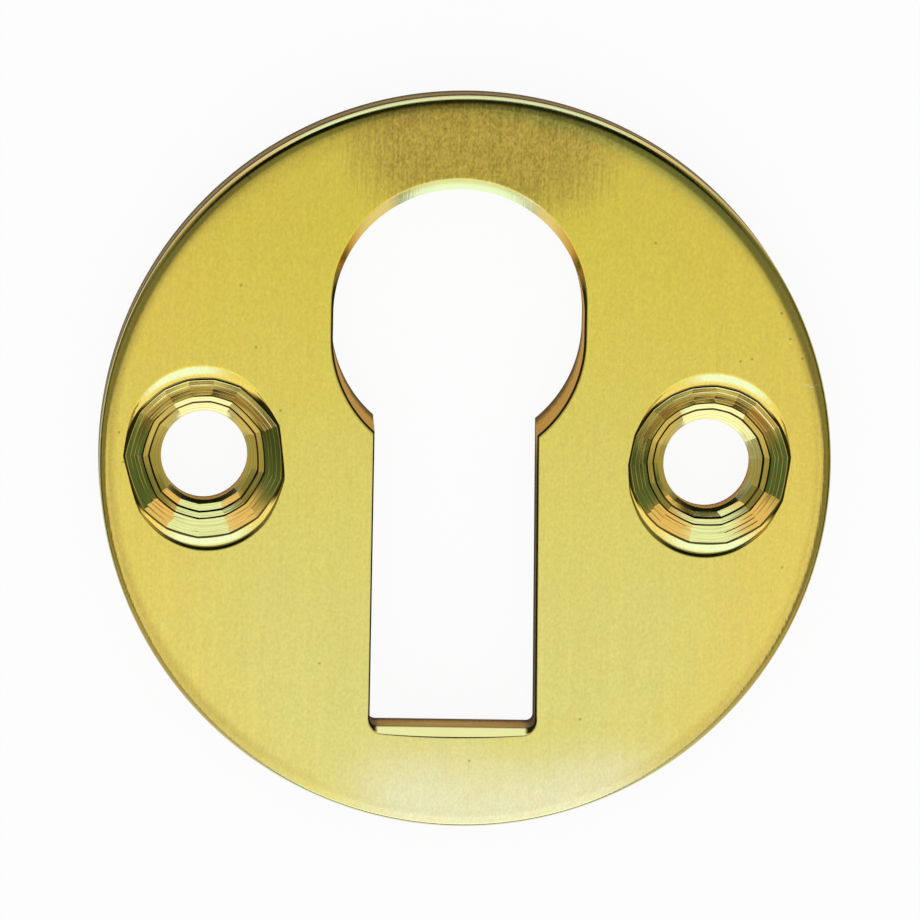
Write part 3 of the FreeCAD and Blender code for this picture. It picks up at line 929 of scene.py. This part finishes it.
def flat_sided(corners, roundness):
    """A ring of unit size between a polygon with these corners and a circle."""
    points = []
    for number, first in enumerate(corners):
        second = corners[(number + 1) % len(corners)]
        start, end = math.radians(first), math.radians(second + FULL_TURN * (second < first))
        for step in range(SIDE_STEPS):
            share = step / SIDE_STEPS
            turn = start + (end - start) * share
            x = math.cos(start) * (1 - share) + math.cos(end) * share
            y = math.sin(start) * (1 - share) + math.sin(end) * share
            points.append((x + (math.cos(turn) - x) * roundness,
                           y + (math.sin(turn) - y) * roundness))
    return points


def moat_ring(place, corners, turn, out_x, out_y, above, below, roundness):
    """One oval ring of the moat, turned a little towards the plate's edge."""
    points = []
    for flat, curved in zip(flat_sided(corners, CORNER_ROUNDNESS), flat_sided(corners, 1)):
        along = curved[1] * math.cos(turn) - curved[0] * math.sin(turn)
        lobe = roundness * abs(along) ** LOBE_POWER
        reach = out_x + (out_y - out_x) * along ** 2
        depth = (above + below) / 2 + (above - below) / 2 * along
        points.append((place[0] + reach * (flat[0] + (curved[0] - flat[0]) * lobe),
                       place[1] + reach * (flat[1] + (curved[1] - flat[1]) * lobe),
                       THICKNESS - depth))
    return points


def cone_ring(place, corners, radius, above, below, roundness=CORNER_ROUNDNESS):
    """One flat-sided ring of the cone, a little uneven, that differs below the hole."""
    corners = [corner + chatter.uniform(-1, 1) * CHATTER * FULL_TURN / 4 for corner in corners]
    squeeze = 1
    if radius < ROUND_BELOW:
        roundness, squeeze = 1, THROAT_SQUEEZE
    shift = min(max((SHIFT_BELOW - radius) / (SHIFT_BELOW - ROUND_BELOW), 0), 1)
    middle_x, middle_y = (place[axis] + shift * DRILL_SHIFTS[place][axis] for axis in (0, 1))
    return [(middle_x + radius * x * squeeze, middle_y + radius * y,
             THICKNESS - above - (below - above) * min(y, 0) ** 2)
            for x, y in flat_sided(corners, roundness)]


def countersink_outlines(place, corners, turn):
    """Outlines from the face, over the moat, down the cone and out at the back."""
    rows = [moat_ring(place, corners, turn, *row) for row in MOAT_ROWS]
    rows += [cone_ring(place, corners, *row) for row in cone_rows()]
    radius, above, below = cone_rows()[-1]
    for radius, fall in WALL_ROWS:
        rows.append(cone_ring(place, corners, radius, above + fall, above + fall, roundness=1))
    rows.append(cone_ring(place, corners, WALL_ROWS[-1][0] + BACK_BREAK, THICKNESS, THICKNESS,
                          roundness=1))
    return rows


def countersink_finish(band):
    """Satin on the moat, cut metal or painted black shade on the cone and sheared metal in the
    hole.
    """
    band -= len(MOAT_ROWS) - 1
    if band < 0:
        # The moat's last band is painted black shade, the dark line beside the cone.
        return GROOVE if band == -1 else SATIN
    return CONE_BANDS[band][-1] if band < len(CONE_BANDS) else SHEARED


def crisp_edges(item):
    """Shade smooth, but keep the cone's ledges and the edges between its sides sharp."""
    bpy.ops.object.shade_smooth()
    mesh = start_edit(item)
    around, rank = (mesh.verts.layers.int[name] for name in ("around", "rank"))
    cone = range(len(MOAT_ROWS) - 1, len(MOAT_ROWS) + len(CONE_BANDS) + 1)
    for edge in mesh.edges:
        if all(vertex[rank] in cone for vertex in edge.verts):
            level = edge.verts[0][rank] == edge.verts[1][rank]
            at_corner = all(vertex[around] % SIDE_STEPS == 0 for vertex in edge.verts)
            edge.smooth = not (level or at_corner)
    bmesh.update_edit_mesh(item.data)
    bpy.ops.object.mode_set(mode="OBJECT")


countersinks = []
for name, place, corners, turn in zip(("left", "right"), SCREW_PLACES,
                                      (LEFT_CORNERS, RIGHT_CORNERS), (LEFT_TURN, RIGHT_TURN)):
    outlines = countersink_outlines(place, corners, turn)
    countersinks.append(make_sleeve(f"countersink_{name}", outlines, countersink_finish))
    crisp_edges(countersinks[-1])
print("Cone rings:", [tuple(round(value, 3) for value in row) for row in cone_rows()])

# %% [markdown]
# ## Close the plate
#
# The four sleeves are joined into one mesh, and the open loops at the front and at
# the back are filled. Every loop at the front lies in the flat of the face, just
# outside its rounding, so the flat shades flat.


# %% Join and fill
LEVEL_WITHIN = 1e-4


def fill_loops(item, height, finish):
    """Fill between the open loops that lie at a height."""
    mesh = start_edit(item)
    bpy.ops.mesh.select_mode(type="EDGE")
    bpy.ops.mesh.select_all(action="DESELECT")
    for edge in mesh.edges:
        at_height = all(abs(vertex.co.z / MM - height) < LEVEL_WITHIN for vertex in edge.verts)
        edge.select = edge.is_boundary and at_height
    bmesh.update_edit_mesh(item.data)
    before = len(mesh.faces)
    bpy.ops.mesh.fill()
    mesh = bmesh.from_edit_mesh(item.data)
    mesh.faces.ensure_lookup_table()
    for face in mesh.faces[before:]:
        face.material_index = finish
    bmesh.update_edit_mesh(item.data)
    bpy.ops.object.mode_set(mode="OBJECT")
    print("Filled at", height, "mm with", len(item.data.polygons) - before, "faces")


bpy.ops.object.select_all(action="DESELECT")
for sleeve in [rim, keyhole, *countersinks]:
    sleeve.select_set(True)
bpy.context.view_layer.objects.active = rim
bpy.ops.object.join()
plate = rim
plate.name = "brass_plate"
fill_loops(plate, THICKNESS, SATIN)
fill_loops(plate, 0.0, ROLLED)

start_edit(plate)
bpy.ops.mesh.select_all(action="SELECT")
bpy.ops.mesh.normals_make_consistent(inside=False)
bpy.ops.object.mode_set(mode="OBJECT")

check = bmesh.new()
check.from_mesh(plate.data)
open_edges = sum(not edge.is_manifold for edge in check.edges)
print("Plate:", len(plate.data.polygons), "faces,", open_edges, "open edges,",
      round(check.calc_volume() / MM ** 3, 1), "cubic mm")
check.free()

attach(plate, "root")
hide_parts(PLATE_NODE)

# %% [markdown]
# ## The floor
#
# The photograph is cut out on white, and white shows through the openings. The floor
# is white where the camera, a reflection or a view through glass meets it, mixed with
# a little plain matt white that keeps the plate's shadow. From below it is clear, so
# that the back can be looked at.

# %% Lay the floor
FLOOR_RADIUS = 3.0
FLOOR_GAP = 0.02 * MM
FLOOR_CORNERS = 96
WHITE = (1, 1, 1, 1)
MATT_WHITE = (0.9, 0.9, 0.9, 1)
SHADOW_SHARE = 0.06


def seen_white(finish):
    """Full where the ray is from the camera, a reflection or a view through glass."""
    light_path = finish.node("LightPath").socket.node
    share = None
    for name in ("Is Camera Ray", "Is Glossy Ray", "Is Transmission Ray"):
        ray = Wire(finish, light_path.outputs[name])
        share = ray if share is None else share + ray
    return finish.smaller(share, 1.0)


def floor_white():
    """White that keeps a faint shadow, and is clear from below."""
    finish = new_finish("floor_white")
    glow = finish.node("Emission", inputs={"Color": WHITE, "Strength": 1.0})
    matt = finish.node("BsdfDiffuse", inputs={"Color": MATT_WHITE})
    seen = seen_white(finish) * (1 - SHADOW_SHARE)
    surface = finish.node("MixShader", inputs={0: seen, 1: matt, 2: glow})
    below = finish.node("NewGeometry", output="Backfacing")
    clear = finish.node("BsdfTransparent")
    return finish.close(finish.node("MixShader", inputs={0: below, 1: surface, 2: clear}))


bpy.ops.mesh.primitive_circle_add(vertices=FLOOR_CORNERS, radius=FLOOR_RADIUS, fill_type="NGON",
                                  location=(0, 0, -FLOOR_GAP))
floor = bpy.context.object
floor.name = "floor"
floor.data.materials.append(floor_white())
print("Floor lies", round(FLOOR_GAP / MM, 3), "mm below the plate")

# %% [markdown]
# ## The studio
#
# Polished metal shows its surroundings more than its light. A tall soft window
# stands in front and leans over the plate. The room round it is a dome that glows by
# direction. From front to back it is brown and black low down, grey overhead, a
# black gap, and a pale wall that is warm at its foot. Further out to the left and
# right the same bands are warmer and brighter, like lamps, and at both ends the dome
# is dark green, so that edges draw themselves as thin dark lines. Only reflections
# see the dome.

# %% Build the room and the window
ROOM_RADIUS = 2.9
OVERHEAD = (0.32, 0.38, 0.36, 1)
WARM_OVERHEAD = (0.44, 0.38, 0.14, 1)
WARM_LAMP = (0.82, 0.66, 0.30, 1)
BLACK_GAP = (0.005, 0.008, 0.003, 1)
WARM_GAP = (0.26, 0.25, 0.10, 1)
PALE_WALL = (1.02, 1.20, 1.02, 1)
WARM_WALL = (1.02, 0.70, 0.32, 1)
LOW_FRONT = (0.44, 0.27, 0.11, 1)
WARM_FRONT = (0.74, 0.50, 0.22, 1)
DARK_SIDE = (0.094, 0.148, 0.056, 1)
ROOM_GRID = {"segments": 48, "ring_count": 24}
WINDOW = {"rise": -38, "distance": 1.1, "width": 0.95, "height": 1.5, "radiance": 1.05,
          "colour": (0.97, 1.0, 0.94)}
WARM_ACROSS = (0.38, 0.5)
DARK_ACROSS = (0.80, 0.90)


def wall_stops(front, foot, lamp, over, gap, wall):
    """The dome's colours from the low front over the top to the back, by tilt in degrees."""
    turns = [(-90, front), (-87, front), (-84, foot), (-76, foot), (-73, lamp), (-32, lamp),
             (-22, over), (11, over), (15, gap), (42, gap), (46, wall), (79, wall),
             (83, WARM_WALL), (90, WARM_WALL)]
    return [(turn / 180 + 0.5, colour) for turn, colour in turns]


def studio_glow():
    """A glow whose colour depends on the direction from the plate."""
    finish = new_finish("studio_glow")
    x, y, z = finish.place()[1:]
    over = finish.node("Math", {"operation": "ARCTAN2"}, {0: y, 1: z}) / math.pi + 0.5
    across = finish.size_of(x * (MM / ROOM_RADIUS))
    pale = wall_stops(LOW_FRONT, BLACK_GAP, OVERHEAD, OVERHEAD, BLACK_GAP, PALE_WALL)
    warm = wall_stops(WARM_FRONT, WARM_FRONT, WARM_LAMP, WARM_OVERHEAD, WARM_GAP, WARM_WALL)
    pale, warm = (finish.node("ValToRGB", {"stops": stops}, {0: over}) for stops in (pale, warm))
    colour = finish.mix(finish.fade(across, WARM_ACROSS), pale, warm)
    colour = finish.mix(finish.fade(across, DARK_ACROSS), colour, DARK_SIDE)
    return finish.close(finish.node("Emission", inputs={"Color": colour, "Strength": 1.0}))


def up_and_over(rise):
    """A direction that leans from straight up towards +Y, in degrees."""
    return Vector((0, math.sin(math.radians(rise)), math.cos(math.radians(rise))))


def make_window(name, window):
    """A soft area lamp that faces the plate, as bright as its radiance."""
    data = bpy.data.lights.new(name, "AREA")
    data.shape = "RECTANGLE"
    data.size = window["width"]
    data.size_y = window["height"]
    data.energy = window["radiance"] * math.pi * window["width"] * window["height"]
    data.color = window["colour"]
    lamp = bpy.data.objects.new(name, data)
    bpy.context.scene.collection.objects.link(lamp)
    lamp.location = up_and_over(window["rise"]) * window["distance"]
    lamp.rotation_euler = (math.radians(-window["rise"]), 0, 0)
    return lamp


bpy.ops.object.select_all(action="DESELECT")
bpy.ops.mesh.primitive_uv_sphere_add(radius=ROOM_RADIUS, **ROOM_GRID)
room = bpy.context.object
room.name = "studio_room"
room.data.materials.append(studio_glow())
room.visible_camera = room.visible_diffuse = room.visible_shadow = False

window = make_window("front_window", WINDOW)
print("Window:", round(window.data.energy, 2), "W")

# %% [markdown]
# Beyond the dome the world is white where it is seen, and everywhere else a plain
# soft fill at half that strength.

# %% Light the world
FILL_LIGHT = 0.5


def soft_world():
    """White where it is seen, and a plain soft fill everywhere else."""
    finish = Finish(bpy.data.worlds.new("world"))
    strength = FILL_LIGHT + seen_white(finish) * (1 - FILL_LIGHT)
    glow = finish.node("Background", inputs={"Color": WHITE, "Strength": strength})
    finish.node("OutputWorld", inputs={"Surface": glow})
    return finish.owner


bpy.context.scene.world = soft_world()
bpy.context.scene.view_settings.view_transform = "Standard"
print("World:", bpy.context.scene.world.name)

# %% [markdown]
# The visible plate has to stay inside the CAD model's box.
